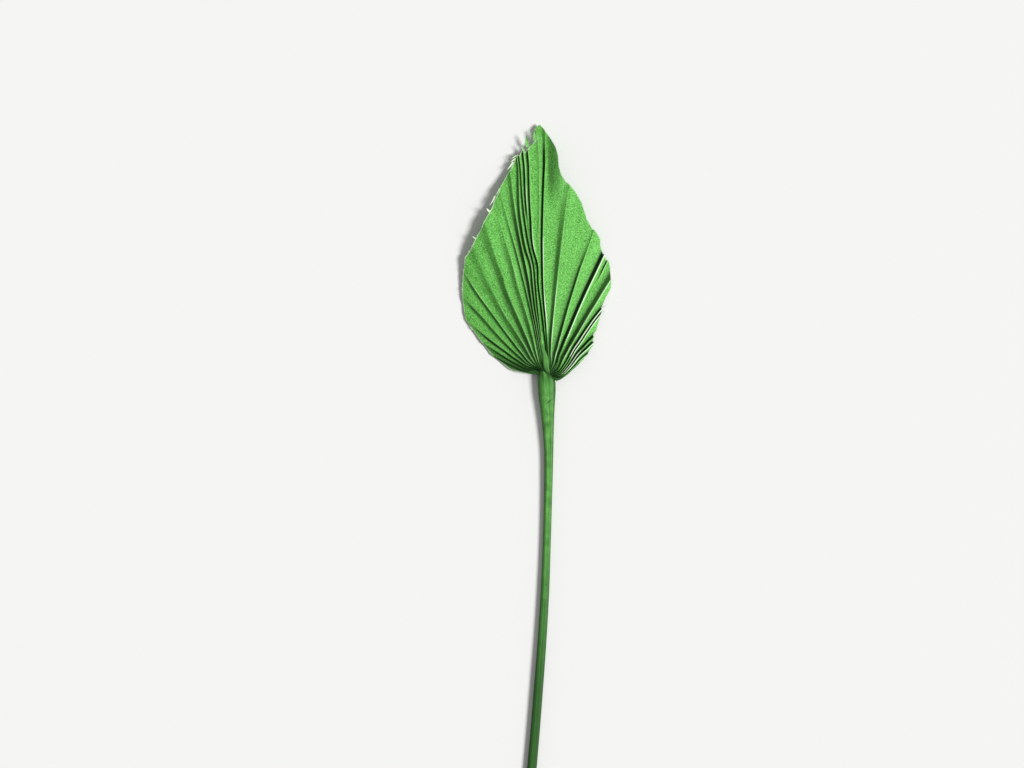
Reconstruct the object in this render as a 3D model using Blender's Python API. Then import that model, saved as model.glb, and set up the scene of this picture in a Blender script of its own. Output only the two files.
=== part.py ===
"""A dried and dyed palm spear: one pleated fan leaf, trimmed to a spear head, on its leaf stalk.

The leaf lies face up. The origin is on the resting plane, straight under the hub, where the stalk
meets the blade. +Y runs along the blade to its tip, and +X is to the right as the face is seen.
Lengths are metres and directions are degrees from +Y, clockwise, so the right half is positive.
"""

import math

import bmesh
import bpy

# Blade: thickness, and the gently arched sheet that its pleats are folded in. Its wings droop by
# WING_DROP at their reach, and lie on the plane of the stalk's underside where they come down to it.
BLADE_THICKNESS = 0.00062
HUB_HEIGHT = 0.0056
ARCH_SLOPE = 0.105
ARCH_BEND = 0.70
WING_DROP = 0.0083
LEFT_REACH = 0.0552
RIGHT_REACH = 0.0424

# Trimmed edge of the blade, from the left of the hub over the tip to its right: x, y. Right of
# TOOTHED_FROM, each valley is cut TOOTH shorter than its crests.
BLADE_EDGE = [
    (-0.0080, 0.0010), (-0.0126, 0.0014), (-0.0180, 0.0024), (-0.0234, 0.0039), (-0.0262, 0.0054),
    (-0.0294, 0.0081), (-0.0336, 0.0112), (-0.0364, 0.0134), (-0.0405, 0.0191), (-0.0463, 0.0265),
    (-0.0526, 0.0355), (-0.0550, 0.0410), (-0.0563, 0.0505), (-0.0564, 0.0615), (-0.0552, 0.0730),
    (-0.0546, 0.0792), (-0.0490, 0.0880), (-0.0438, 0.0976), (-0.0406, 0.1050), (-0.0362, 0.1130),
    (-0.0314, 0.1228), (-0.0258, 0.1352), (-0.0202, 0.1462), (-0.0154, 0.1500), (-0.0114, 0.1515),
    (-0.0066, 0.1568), (-0.0071, 0.1634), (-0.0047, 0.1676), (0.0000, 0.1617), (0.0060, 0.1516),
    (0.0081, 0.1424), (0.0100, 0.1336), (0.0127, 0.1287), (0.0192, 0.1218), (0.0239, 0.1116),
    (0.0284, 0.1022), (0.0364, 0.0910), (0.0380, 0.0810), (0.0411, 0.0768), (0.0429, 0.0700),
    (0.0427, 0.0572), (0.0384, 0.0498), (0.0370, 0.0434), (0.0350, 0.0380), (0.0335, 0.0312),
    (0.0312, 0.0260), (0.0315, 0.0214), (0.0274, 0.0148), (0.0209, 0.0077), (0.0147, 0.0034),
    (0.0080, -0.0010),
]
TIP = (-0.0047, 0.1676)
TOOTH = 0.0011
TOOTHED_FROM = 14.0

# Pleats from left to right. Each climbs a steep face, given by the direction in which its middle is
# seen from the hub at each of DISTANCES, its width, its height, and the share of that height left
# at the trimmed edge.
DISTANCES = [0.008, 0.014, 0.022, 0.033, 0.046, 0.060, 0.074, 0.084, 0.104, 0.140]
PLEATS = [
    ([-75.1, -74.8, -72.7, -69.1, -68.0, -68.0, -68.0, -68.0, -68.0, -68.0], 0.0012, 0.0009, 0.8),
    ([-72.0, -71.7, -69.5, -66.2, -64.2, -64.2, -64.2, -64.2, -64.2, -64.2], 0.0013, 0.0012, 0.8),
    ([-63.7, -65.4, -62.9, -60.2, -58.2, -56.6, -56.6, -56.6, -56.6, -56.6], 0.0016, 0.0013, 0.6),
    ([-59.6, -60.0, -56.5, -53.6, -50.6, -48.4, -47.6, -47.6, -47.6, -47.6], 0.0019, 0.0013, 0.2),
    ([-55.5, -54.2, -49.8, -46.3, -43.7, -41.9, -40.8, -39.7, -39.0, -39.0], 0.0020, 0.0016, 0.7),
    ([-50.1, -46.5, -41.5, -38.5, -36.6, -34.8, -33.0, -31.8, -30.5, -30.5], 0.0042, 0.0014, 0.3),
    ([-43.0, -38.5, -33.5, -30.5, -28.4, -26.8, -25.4, -24.6, -23.3, -23.1], 0.0042, 0.0016, 0.3),
    ([-37.0, -30.8, -25.0, -22.3, -20.9, -20.0, -19.4, -19.1, -19.0, -19.0], 0.0032, 0.0012, 0.1),
    ([-29.2, -22.7, -18.6, -16.1, -15.1, -14.7, -14.5, -14.4, -14.5, -14.3], 0.0012, 0.0007, 0.4),
    ([-24.3, -19.4, -15.8, -14.0, -13.1, -12.1, -11.9, -11.9, -11.8, -10.8], 0.0017, 0.0012, 1.0),
    ([-20.3, -16.2, -13.1, -11.5, -10.8, -9.8, -9.2, -10.0, -10.1, -8.3], 0.0016, 0.0012, 1.0),
    ([-16.2, -13.2, -10.7, -9.6, -8.9, -8.0, -7.4, -8.2, -8.4, -7.6], 0.0012, 0.0009, 0.8),
    ([-9.2, -8.5, -7.8, -7.4, -7.3, -6.9, -6.3, -7.4, -7.5, -6.5], 0.0011, 0.0009, 1.0),
    ([-1.9, -4.5, -5.4, -5.6, -5.9, -5.7, -4.7, -6.4, -6.3, -5.3], 0.0013, 0.0013, 1.0),
    ([6.4, 0.5, -1.6, -2.2, -2.8, -3.2, -2.8, -2.6, -1.9, -0.9], 0.0015, 0.0014, 0.8),
    ([14.2, 6.5, 4.5, 4.0, 4.4, 4.6, 5.0, 5.2, 5.5, 6.2], 0.0030, 0.0016, 0.5),
    ([23.5, 17.4, 15.8, 15.8, 16.2, 16.3, 16.7, 16.8, 17.3, 17.3], 0.0028, 0.0016, 0.3),
    ([34.6, 27.3, 24.6, 23.8, 23.4, 23.8, 23.9, 24.0, 24.0, 24.0], 0.0027, 0.0022, 1.0),
    ([47.5, 39.4, 34.6, 32.7, 32.0, 32.1, 32.6, 32.7, 32.7, 32.7], 0.0034, 0.0025, 1.0),
    ([57.5, 52.2, 43.8, 39.7, 37.8, 37.6, 37.6, 37.6, 37.6, 37.6], 0.0022, 0.0022, 1.0),
    ([61.0, 57.6, 48.3, 43.1, 40.5, 39.9, 39.9, 39.9, 39.9, 39.9], 0.0014, 0.0014, 1.0),
    ([64.8, 63.8, 53.7, 49.2, 47.8, 47.8, 47.8, 47.8, 47.8, 47.8], 0.0020, 0.0020, 1.0),
    ([67.6, 67.6, 59.9, 54.6, 53.3, 53.3, 53.3, 53.3, 53.3, 53.3], 0.0019, 0.0018, 1.0),
    ([69.5, 69.5, 64.0, 59.6, 59.6, 59.6, 59.6, 59.6, 59.6, 59.6], 0.0014, 0.0011, 1.0),
]

# The blade's two sides beside the hub. Between them a steep face takes up at most WIDEST_SHARE of
# the way to its neighbours, its height swells until FULL_DEPTH_AT and changes again from FADE_FROM
# of the way to the edge, and the sheet is made thicker upright over slopes of up to STEEPEST.
FIRST_SIDE = -82.8
LAST_SIDE = 97.0
WIDEST_SHARE = 0.5
FAN_START = 0.0014
FULL_DEPTH_AT = 0.040
FADE_FROM = 0.60
STEEPEST = 1.2

# Facets: steps along each pleat, the widest step between two lines of the fan, in degrees, at
# STEP_AT from the hub, and the turns that place the end of a line on the trimmed edge
ROWS = 18
WIDEST_STEP = 3.4
STEP_AT = 0.060
EDGE_TURNS = 12

# Stalk and the rib that runs on from it into the blade: y, centre x, width, underside z, top z
STALK = [
    (-0.3330, -0.0180, 0.0070, 0.0000, 0.0050), (-0.2610, -0.0101, 0.0065, 0.0000, 0.0048),
    (-0.2080, -0.0057, 0.0062, 0.0000, 0.0047), (-0.1760, -0.0033, 0.0059, 0.0000, 0.0046),
    (-0.1440, -0.0014, 0.0057, 0.0000, 0.0045), (-0.1120, -0.0002, 0.0054, 0.0000, 0.0044),
    (-0.0830, 0.0006, 0.0055, 0.0000, 0.0045), (-0.0650, 0.0010, 0.0057, 0.0000, 0.0047),
    (-0.0490, 0.0011, 0.0062, 0.0000, 0.0050), (-0.0400, 0.0009, 0.0070, 0.0000, 0.0054),
    (-0.0310, 0.0006, 0.0081, 0.0000, 0.0059), (-0.0210, 0.0002, 0.0095, 0.0000, 0.0066),
    (-0.0130, 0.0000, 0.0107, 0.0000, 0.0072), (-0.0042, 0.0000, 0.0120, 0.0000, 0.0077),
    (-0.0008, -0.0003, 0.0118, 0.0000, 0.0078), (0.0014, -0.0007, 0.0090, 0.0000, 0.0079),
    (0.0035, -0.0012, 0.0062, 0.0000, 0.0080), (0.0080, -0.0018, 0.0045, 0.0006, 0.0081),
    (0.0140, -0.0024, 0.0033, 0.0022, 0.0083), (0.0200, -0.0029, 0.0024, 0.0044, 0.0084),
    (0.0280, -0.0032, 0.0014, 0.0066, 0.0084),
]

# Half of the stalk's section, from its flat underside to the faint channel along its top: shares of
# half the width and of the height.
STALK_SECTION = [(0.50, 0.00), (0.82, 0.13), (1.00, 0.42), (0.94, 0.70), (0.68, 0.93), (0.30, 1.00)]
CHANNEL_FLOOR = (0.00, 0.985)

LEAF_GREEN = "#5FA34F"
LEAF_ROUGHNESS = 0.62
SHARP_FROM = 12.0


def linear(hex_colour):
    """The linear RGBA of an sRGB hex colour."""
    channels = [int(hex_colour[i:i + 2], 16) / 255 for i in (1, 3, 5)]
    return [c / 12.92 if c <= 0.04045 else ((c + 0.055) / 1.055) ** 2.4 for c in channels] + [1.0]


def smooth_step(low, high, value):
    """0 below low, 1 above high, and a smooth rise between them."""
    share = min(max((value - low) / (high - low), 0.0), 1.0)
    return share * share * (3 - 2 * share)


def sheet_height(x, y):
    """Height of the unfolded leaf: arched along its length, with both wings drooping."""
    reach = LEFT_REACH if x < 0 else RIGHT_REACH
    return HUB_HEIGHT + ARCH_SLOPE * y - ARCH_BEND * y * y - WING_DROP * (x / reach) ** 2


def between(low, high, share):
    return low + (high - low) * share


def slope_at(values, places, k):
    """Slope of a smooth curve through the values at one of their places."""
    if k in (0, len(places) - 1):
        near = max(0, min(k, len(places) - 2))
        return (values[near + 1] - values[near]) / (places[near + 1] - places[near])
    before, after = places[k] - places[k - 1], places[k + 1] - places[k]
    fall = (values[k] - values[k - 1]) / before
    rise = (values[k + 1] - values[k]) / after
    return (fall * after + rise * before) / (before + after)


def eased(values, at, places):
    """A smooth curve through the values at their places, level beyond both ends."""
    at = min(max(at, places[0]), places[-1])
    k = max(i for i in range(len(places) - 1) if places[i] <= at)
    span = places[k + 1] - places[k]
    t = (at - places[k]) / span
    low, high = slope_at(values, places, k) * span, slope_at(values, places, k + 1) * span
    curve = values[k] * (2 * t ** 3 - 3 * t ** 2 + 1) + values[k + 1] * (3 * t ** 2 - 2 * t ** 3)
    return curve + low * (t ** 3 - 2 * t ** 2 + t) + high * (t ** 3 - t ** 2)


# Steep faces with the two sides of the blade, as flat ones, before the first and after the last
FACES = (
    [([FIRST_SIDE] * len(DISTANCES), 0.0, PLEATS[0][2], PLEATS[0][3])]
    + PLEATS
    + [([LAST_SIDE] * len(DISTANCES), 0.0, PLEATS[-1][2], PLEATS[-1][3])]
)


def face_middle(k, distance):
    return eased(FACES[k][0], distance, DISTANCES)


def face_half_width(k, distance):
    """Half of the width of a steep face in degrees, at a distance from the hub."""
    middle = face_middle(k, distance)
    others = [face_middle(i, distance) for i in (k - 1, k + 1) if 0 <= i < len(FACES)]
    room = min(abs(other - middle) for other in others)
    return min(math.degrees(FACES[k][1] / distance), WIDEST_SHARE * room) / 2


def valley_direction(k, distance):
    return face_middle(k, distance) - face_half_width(k, distance)


def crest_direction(k, distance):
    return face_middle(k, distance) + face_half_width(k, distance)


def line_direction(line, distance):
    """Direction of a line of the fan at a distance from the hub."""
    k, share, _ = line
    if share is None:
        return valley_direction(k, distance)
    return between(crest_direction(k, distance), valley_direction(k + 1, distance), share)


def tip_share():
    """The tip's share of the way from the crest left of it to the next valley, and that crest."""
    distance = math.hypot(*TIP)
    direction = math.degrees(math.atan2(*TIP))
    k = max(i for i in range(len(FACES)) if crest_direction(i, distance) < direction)
    low, high = crest_direction(k, distance), valley_direction(k + 1, distance)
    return k, (direction - low) / (high - low)


def fold_lines():
    """Lines of the blade from left to right: the face left of each, its share of the way from that
    face's crest to the next valley (None for a valley itself), and its side, from -1 to +1."""
    tip_face, tip_at = tip_share()
    lines = []
    for k in range(len(FACES) - 1):
        if k > 0:
            lines.append((k, None, -1.0))
        width = valley_direction(k + 1, STEP_AT) - crest_direction(k, STEP_AT)
        parts = max(1, math.ceil(width / WIDEST_STEP))
        shares = [part / parts for part in range(parts)]
        if k == tip_face:
            shares = sorted(shares + [tip_at])
        crest = 1.0 if k > 0 else -1.0
        lines += [(k, share, between(crest, -1.0, share)) for share in shares]
    lines.append((len(FACES) - 1, None, -1.0))
    return lines


def edge_distance(direction, edge):
    """Distance from the hub to the trimmed edge in a direction."""
    for low, high in zip(edge, edge[1:]):
        if direction <= high[0]:
            share = max(0.0, (direction - low[0]) / (high[0] - low[0]))
            return between(low[1], high[1], share)
    return edge[-1][1]


def line_reach(line, edge):
    """Distance from the hub at which a line of the fan meets the trimmed edge."""
    reach = STEP_AT
    for _ in range(EDGE_TURNS):
        reach = edge_distance(line_direction(line, reach), edge)
    if line_direction(line, reach) > TOOTHED_FROM:
        reach -= TOOTH * (1 - line[2]) / 2 * min(1.0, reach / FULL_DEPTH_AT)
    return reach


def relief(k, distance, reach):
    """Height of a steep face, and its slope, at a distance from the hub."""
    _, _, height, share = FACES[k]
    swell = min(1.0, distance / FULL_DEPTH_AT)
    swell *= 1 - (1 - share) * smooth_step(FADE_FROM, 1.0, distance / reach)
    width = 2 * math.radians(face_half_width(k, distance)) * distance
    slope = min(STEEPEST, height * swell / width) if width > 0 else 0.0
    return height * swell, slope


def blade_columns():
    """For each line of the blade, its points from hub to edge, each as top and bottom corners."""
    edge = []
    for x, y in BLADE_EDGE:
        direction = math.degrees(math.atan2(x, y))
        edge.append((direction, math.hypot(x, y)))
    columns = []
    for line in fold_lines():
        k, share, side = line
        reach = line_reach(line, edge)
        column = []
        for row in range(ROWS + 1):
            distance = FAN_START + (reach - FAN_START) * row / ROWS
            turned = math.radians(line_direction(line, distance))
            x, y = distance * math.sin(turned), distance * math.cos(turned)
            height, steepness = relief(k, distance, reach)
            if share:
                next_height, next_steepness = relief(k + 1, distance, reach)
                height = between(height, next_height, share)
                steepness = between(steepness, next_steepness, share)
            half = BLADE_THICKNESS * math.hypot(1, steepness) / 2
            middle = max(sheet_height(x, y) + side * height / 2, half)
            column.append(((x, y, middle + half), (x, y, middle - half)))
        columns.append(column)
    return columns


def blade_mesh():
    """The folded blade as a closed sheet, split into triangles alike on both faces."""
    bm = bmesh.new()
    grid = [[[bm.verts.new(corner) for corner in point] for point in column]
            for column in blade_columns()]
    top, bottom = 0, 1
    for left, right in zip(grid, grid[1:]):
        for row in range(ROWS):
            near_left, near_right = left[row], right[row]
            far_left, far_right = left[row + 1], right[row + 1]
            for face in ((near_left, near_right, far_right), (near_left, far_right, far_left)):
                bm.faces.new([point[top] for point in face])
                bm.faces.new([point[bottom] for point in reversed(face)])
        for row, turn in ((0, 1), (ROWS, -1)):
            wall = [left[row][top], left[row][bottom], right[row][bottom], right[row][top]]
            bm.faces.new(wall[::turn])
    for column, turn in ((grid[0], -1), (grid[-1], 1)):
        for near, far in zip(column, column[1:]):
            wall = [near[top], near[bottom], far[bottom], far[top]]
            bm.faces.new(wall[::turn])
    return finished_mesh(bm, "blade")


def stalk_mesh():
    """The stalk and its rib as one loft of closed sections, capped at both ends."""
    bm = bmesh.new()
    half = STALK_SECTION
    around = half + [CHANNEL_FLOOR] + [(-across, up) for across, up in reversed(half)]
    rings = []
    for y, centre, width, underside, top in STALK:
        ring = [(centre + across * width / 2, y, underside + up * (top - underside))
                for across, up in around]
        rings.append([bm.verts.new(point) for point in ring])
    for near, far in zip(rings, rings[1:]):
        for i in range(len(near)):
            j = (i + 1) % len(near)
            bm.faces.new((near[i], near[j], far[j], far[i]))
    bm.faces.new(rings[0][::-1])
    bm.faces.new(rings[-1])
    return finished_mesh(bm, "stalk")


def finished_mesh(bm, name):
    bmesh.ops.recalc_face_normals(bm, faces=bm.faces)
    mesh = bpy.data.meshes.new(name)
    bm.to_mesh(mesh)
    bm.free()
    return mesh


def leaf_material():
    material = bpy.data.materials.new("dyed dried palm leaf")
    material.use_nodes = True
    shader = material.node_tree.nodes["Principled BSDF"]
    shader.inputs["Base Color"].default_value = linear(LEAF_GREEN)
    shader.inputs["Roughness"].default_value = LEAF_ROUGHNESS
    shader.inputs["Metallic"].default_value = 0.0
    material.diffuse_color = linear(LEAF_GREEN)
    return material


def placed(name, mesh):
    thing = bpy.data.objects.new(name, mesh)
    bpy.context.scene.collection.objects.link(thing)
    return thing


for old in list(bpy.data.objects):
    bpy.data.objects.remove(old, do_unlink=True)

spear = placed("palm_spear", blade_mesh())
stalk = placed("stalk", stalk_mesh())

# The blade grows out of the stalk, so the two solids are joined in one
join = spear.modifiers.new("grown together", "BOOLEAN")
join.operation = "UNION"
join.solver = "EXACT"
join.object = stalk
bpy.context.view_layer.objects.active = spear
bpy.ops.object.modifier_apply(modifier=join.name)
bpy.data.objects.remove(stalk, do_unlink=True)

spear.data.name = "palm_spear"
spear.data.materials.clear()
spear.data.materials.append(leaf_material())
spear.data.shade_smooth()
spear.data.set_sharp_from_angle(angle=math.radians(SHARP_FROM))
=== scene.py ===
import math
from collections import namedtuple

import bpy
import numpy as np
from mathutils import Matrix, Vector, noise


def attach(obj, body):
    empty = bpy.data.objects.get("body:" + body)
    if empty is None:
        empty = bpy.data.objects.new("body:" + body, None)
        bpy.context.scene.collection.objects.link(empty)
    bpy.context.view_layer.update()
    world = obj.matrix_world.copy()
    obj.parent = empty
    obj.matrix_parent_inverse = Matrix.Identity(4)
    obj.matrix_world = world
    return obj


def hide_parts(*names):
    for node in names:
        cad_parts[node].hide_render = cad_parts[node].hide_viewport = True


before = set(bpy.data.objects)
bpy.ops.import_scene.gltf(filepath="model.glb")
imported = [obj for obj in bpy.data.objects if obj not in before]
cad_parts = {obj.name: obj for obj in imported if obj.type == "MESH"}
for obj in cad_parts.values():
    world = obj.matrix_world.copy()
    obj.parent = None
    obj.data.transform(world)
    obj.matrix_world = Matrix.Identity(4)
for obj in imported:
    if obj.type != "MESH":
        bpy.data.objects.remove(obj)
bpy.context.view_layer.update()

# THE BLADE
# One fan leaf of a palm, cut young, trimmed with scissors to a spear head, dried flat and dyed green.
# It is a sheet of about 0.4 mm, folded into sharp pleats that spread from the hub. Each pleat falls
# gently from its crest to a rounded valley, then climbs a steep face to the next crest.

MM = 0.001
SHEET = 0.40 * MM

# The sheet that the pleats are folded in: arched from hub to tip, with both wings drooping
HUB_HEIGHT = 5.85 * MM
ARCH_SLOPE, ARCH_BEND = 0.105, 0.70
WING_DROP = 8.1 * MM
LEFT_REACH, RIGHT_REACH = 55.2 * MM, 42.4 * MM

# Trimmed edge from the left of the hub over the tip to its right: x, y in millimetres
EDGE = [
    (-8.0, 1.0), (-12.6, 1.4), (-18.0, 2.4), (-23.4, 3.9), (-26.2, 5.4), (-29.4, 8.1),
    (-33.6, 11.2), (-36.4, 13.4), (-38.9, 16.4), (-40.5, 19.1), (-43.3, 22.2), (-46.3, 26.5),
    (-48.6, 29.6), (-50.7, 32.3), (-52.6, 35.5), (-54.2, 37.7), (-55.0, 41.0), (-55.6, 45.5),
    (-56.3, 50.5), (-56.4, 61.5), (-56.1, 67.0), (-55.2, 73.0), (-54.6, 79.2), (-52.4, 81.8),
    (-50.4, 85.0), (-49.0, 88.0), (-46.4, 93.2), (-43.8, 97.6), (-42.4, 101.6), (-40.6, 105.0),
    (-37.8, 109.4), (-36.2, 113.0), (-35.0, 116.6), (-33.2, 119.6), (-31.4, 122.8), (-31.1, 125.5),
    (-29.3, 128.7), (-28.0, 131.3), (-26.0, 135.0), (-24.0, 138.0), (-22.0, 142.0), (-20.7, 145.7),
    (-19.7, 147.3), (-18.3, 146.3), (-17.3, 149.3), (-15.3, 150.7), (-14.8, 148.3), (-13.7, 150.0),
    (-11.7, 152.0), (-10.3, 153.7), (-8.0, 156.3), (-6.0, 158.1), (-5.9, 160.0), (-5.9, 164.3),
    (-5.5, 166.3), (-4.7, 167.6), (-4.0, 166.7), (-2.3, 164.3), (-0.7, 162.0), (0.7, 160.0),
    (3.3, 156.0), (6.0, 151.3), (7.3, 145.3), (7.4, 139.5), (9.3, 133.6), (12.7, 128.7),
    (14.3, 127.5), (16.7, 125.0), (19.2, 121.8), (21.2, 118.4), (22.8, 115.0), (23.9, 111.6),
    (25.6, 106.8), (28.4, 102.2), (31.0, 98.0), (33.4, 95.0), (36.4, 91.0), (35.6, 88.6),
    (36.8, 84.2), (38.0, 81.0), (39.7, 78.6), (41.1, 76.8), (42.4, 73.6), (42.9, 70.0),
    (42.6, 65.4), (42.8, 61.6), (42.7, 57.2), (41.0, 55.2), (39.2, 52.4), (38.4, 49.8),
    (37.2, 47.6), (36.4, 46.0), (37.0, 43.4), (35.8, 41.2), (35.0, 38.0), (34.2, 34.4),
    (33.5, 31.2), (31.6, 28.6), (31.2, 26.0), (31.5, 21.4), (27.4, 15.0), (24.2, 11.2),
    (20.9, 7.8), (17.3, 4.5), (13.3, 0.8), (9.6, -2.2), (6.4, -3.7),
]
# Right of this direction the cut has a tooth at each crest, this much longer than at the valley
TOOTHED_FROM, TOOTH = 14.0, 1.1 * MM

# Pleats from left to right. Each climbs a steep face to its crest.
DISTANCES = [8, 14, 22, 33, 46, 60, 74, 84, 104, 140]
Pleat = namedtuple("Pleat", [
    "middle",    # where the face's middle is seen from the hub at DISTANCES, in degrees from +Y
    "width",     # of the face, at the hub and at 100 mm, in millimetres
    "height",    # of the crest above the valley, in millimetres
    "fading",    # the share of that height left at the edge, and the share of the way it fades from
    "softness",  # 0 for a crisp fold, 1 for a wave
    "begins",    # the distance at which the fold begins, in millimetres
    "rubbed",    # how strong the dye's wear on the crest and its painted highlight are, and from and to which distance
    "dyed",      # how dark the shade painted in the valley and up the face is, and how wide in millimetres
])
PLEATS = [
    Pleat([-61.0, -75.5, -74.4, -70.8, -69.7, -69.7, -69.7, -69.7, -69.7, -69.7],
          (1.0, 1.2), 0.9, (0.8, 0.6), 0.3, 0, (0, 0, 0), (0.8, 0.5)),
    Pleat([-58.2, -70.2, -69.0, -65.7, -63.7, -63.7, -63.7, -63.7, -63.7, -63.7],
          (1.0, 1.4), 1.2, (0.7, 0.7), 0.2, 0, (0, 0, 0), (0.8, 0.6)),
    Pleat([-55.8, -64.0, -62.5, -59.8, -58.0, -56.4, -56.4, -56.4, -56.4, -56.4],
          (1.2, 1.6), 1.5, (0.1, 0.72), 0.1, 0, (0.3, 14, 200), (0.9, 0.6)),
    Pleat([-53.3, -59.1, -56.1, -53.2, -50.5, -48.3, -47.5, -47.5, -47.5, -47.5],
          (1.4, 2.0), 1.3, (0, 0.86), 0.3, 0, (0.25, 14, 200), (0.6, 0.7)),
    Pleat([-50.8, -53.6, -49.4, -45.8, -43.3, -41.6, -40.5, -39.5, -38.8, -38.8],
          (1.3, 1.6), 1.7, (0.3, 0.84), 0, 0, (0.45, 12, 90), (0.55, 0.8)),
    Pleat([-47.0, -45.6, -40.6, -37.8, -36.6, -35.0, -33.5, -32.3, -31.0, -31.0],
          (2.0, 4.2), 1.3, (0.4, 0.55), 0.7, 0, (0.45, 12, 66), (0.35, 1.6)),
    Pleat([-42.8, -37.3, -32.3, -29.5, -27.9, -26.9, -25.3, -24.8, -23.5, -23.3],
          (2.0, 4.2), 1.5, (0.5, 0.55), 0.6, 0, (0.55, 12, 66), (0.6, 1.5)),
    Pleat([-37.5, -30.0, -24.2, -21.2, -19.9, -19.4, -18.5, -18.2, -18.1, -18.1],
          (2.0, 3.2), 1.2, (0, 0.6), 0.5, 0, (0.38, 12, 66), (0.4, 1.2)),
    Pleat([-30.2, -22.7, -18.1, -15.6, -14.7, -14.4, -14.3, -14.3, -14.6, -14.4],
          (0.9, 1.2), 0.8, (0.25, 0.6), 0.2, 0, (0.3, 14, 200), (0.7, 0.5)),
    Pleat([-24.3, -18.6, -15.1, -13.4, -12.7, -11.8, -11.6, -11.7, -11.6, -10.6],
          (1.3, 2.1), 1.3, (0.5, 0.6), 0.2, 0, (0.45, 28, 150), (0.95, 1.3)),
    Pleat([-20.1, -15.0, -12.1, -10.8, -10.4, -9.5, -8.8, -9.8, -9.9, -8.1],
          (1.1, 2.1), 1.2, (0.7, 0.6), 0.1, 0, (0.5, 28, 150), (0.95, 0.6)),
    Pleat([-15.9, -12.4, -10.0, -8.9, -8.3, -7.5, -7.1, -7.9, -8.3, -7.4],
          (1.0, 1.3), 0.9, (0.8, 0.6), 0.1, 0, (0.45, 30, 150), (1, 0.5)),
    Pleat([-8.5, -7.4, -6.9, -6.8, -6.7, -6.6, -6.2, -7.1, -7.3, -6.3],
          (0.8, 1.3), 1.0, (1, 0.6), 0, 99, (1, 106, 130), (1, 0.5)),
    Pleat([-0.5, -2.0, -3.4, -4.5, -5.1, -5.6, -5.1, -6.3, -6.1, -5.1],
          (0.9, 1.4), 1.4, (0.9, 0.6), 0, 0, (1.1, 82, 103), (1, 0.5)),
    Pleat([2.6, -0.6, -2.2, -3.1, -3.9, -4.2, -3.9, -4.2, -3.2, -2.3],
          (0.6, 0.6), 0.2, (1, 0.6), 0.3, 90, (0, 0, 0), (0.2, 0.4)),
    Pleat([6.0, 0.8, -1.1, -1.7, -2.6, -2.9, -2.6, -2.4, -1.8, -0.8],
          (1.2, 1.4), 1.6, (0.6, 0.86), 0, 0, (1.3, 30, 92), (1, 0.5)),
    Pleat([15.0, 7.8, 5.3, 4.8, 4.8, 4.9, 5.0, 5.2, 5.5, 6.4],
          (1.3, 3.0), 1.6, (0.35, 0.6), 0.1, 0, (0.8, 12, 74), (0.6, 1.2)),
    Pleat([24.6, 19.2, 17.6, 16.7, 16.3, 16.5, 16.7, 17.1, 17.6, 17.6],
          (2.2, 1.1), 1.7, (0.3, 0.6), 0, 0, (0.7, 10, 84), (0.8, 1.6)),
    Pleat([40.5, 30.2, 26.6, 25.2, 24.4, 24.2, 24.4, 24.5, 24.5, 24.5],
          (1.9, 2.5), 2.4, (1, 0.6), 0, 0, (2.2, 24, 200), (1, 0.9)),
    Pleat([39.7, 33.0, 30.2, 28.8, 28.3, 27.7, 27.8, 27.6, 27.6, 27.6],
          (0.8, 0.8), 1.2, (1, 0.6), 0, 68, (1.3, 70, 200), (1, 0.4)),
    Pleat([56.5, 42.6, 36.8, 34.3, 33.1, 32.7, 32.4, 32.5, 32.5, 32.5],
          (2.1, 3.6), 2.6, (1, 0.6), 0, 0, (0.8, 12, 90), (0.8, 1.8)),
    Pleat([68.0, 55.0, 45.3, 40.8, 38.8, 38.6, 38.6, 38.6, 38.6, 38.6],
          (1.3, 1.7), 2.5, (1, 0.6), 0, 0, (4, 24, 200), (1, 0.7)),
    Pleat([76.5, 61.5, 49.8, 44.4, 41.2, 40.6, 40.6, 40.6, 40.6, 40.6],
          (0.9, 1.1), 1.5, (1, 0.6), 0, 0, (1.3, 20, 200), (1, 0.5)),
    Pleat([85.0, 68.0, 55.1, 50.3, 48.9, 48.9, 48.9, 48.9, 48.9, 48.9],
          (1.4, 1.8), 2.3, (1, 0.6), 0, 0, (2.4, 10, 27), (1, 0.7)),
    Pleat([92.0, 73.6, 59.9, 54.6, 53.3, 53.3, 53.3, 53.3, 53.3, 53.3],
          (1.2, 1.7), 2.1, (1, 0.6), 0, 0, (2.2, 14, 200), (1, 0.6)),
    Pleat([98.5, 80.0, 66.0, 60.2, 59.6, 59.6, 59.6, 59.6, 59.6, 59.6],
          (0.9, 1.1), 1.2, (1, 0.6), 0, 0, (0.6, 14, 200), (1, 0.5)),
]
# The two sides of the blade, as a first and a last pleat
SIDE = (0, 0), 0.4, (1, 0.6), 0.5, 0, (0, 0, 0), (0.5, 0.5)
pleats = [Pleat([-82.85] * len(DISTANCES), *SIDE), *PLEATS, Pleat([119.0] * len(DISTANCES), *SIDE)]

# How much of the room beside it a face may take, and where its second width holds
WIDEST_SHARE, FAR = 0.68, 100 * MM
# How the fall and the climb curve, and the distances over which folds deepen, begin and soften
FALL_POWER, CLIMB_POWER = 1.5, 1.35
FULL_DEPTH_AT, BEGIN_OVER = 28 * MM, 14 * MM
CRISP_UNTIL, SOFT_FROM = 18 * MM, 55 * MM

# Where the fan starts, and how finely it is divided
FAN_START = 1.4 * MM
ROWS, RIM_CROWDING = 100, 1.2
RIM_STEP, CROWDED = 0.95 * MM, 1.35
FEWEST_ON_FALL, MOST_ON_FALL, CLIMB_STEPS = 4, 26, 4
EDGE_TURNS = 12


def smooth(low, high, value):
    """0 below low, 1 above high, and a smooth rise between them."""
    share = np.clip((value - low) / (high - low), 0.0, 1.0)
    return share * share * (3 - 2 * share)


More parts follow.
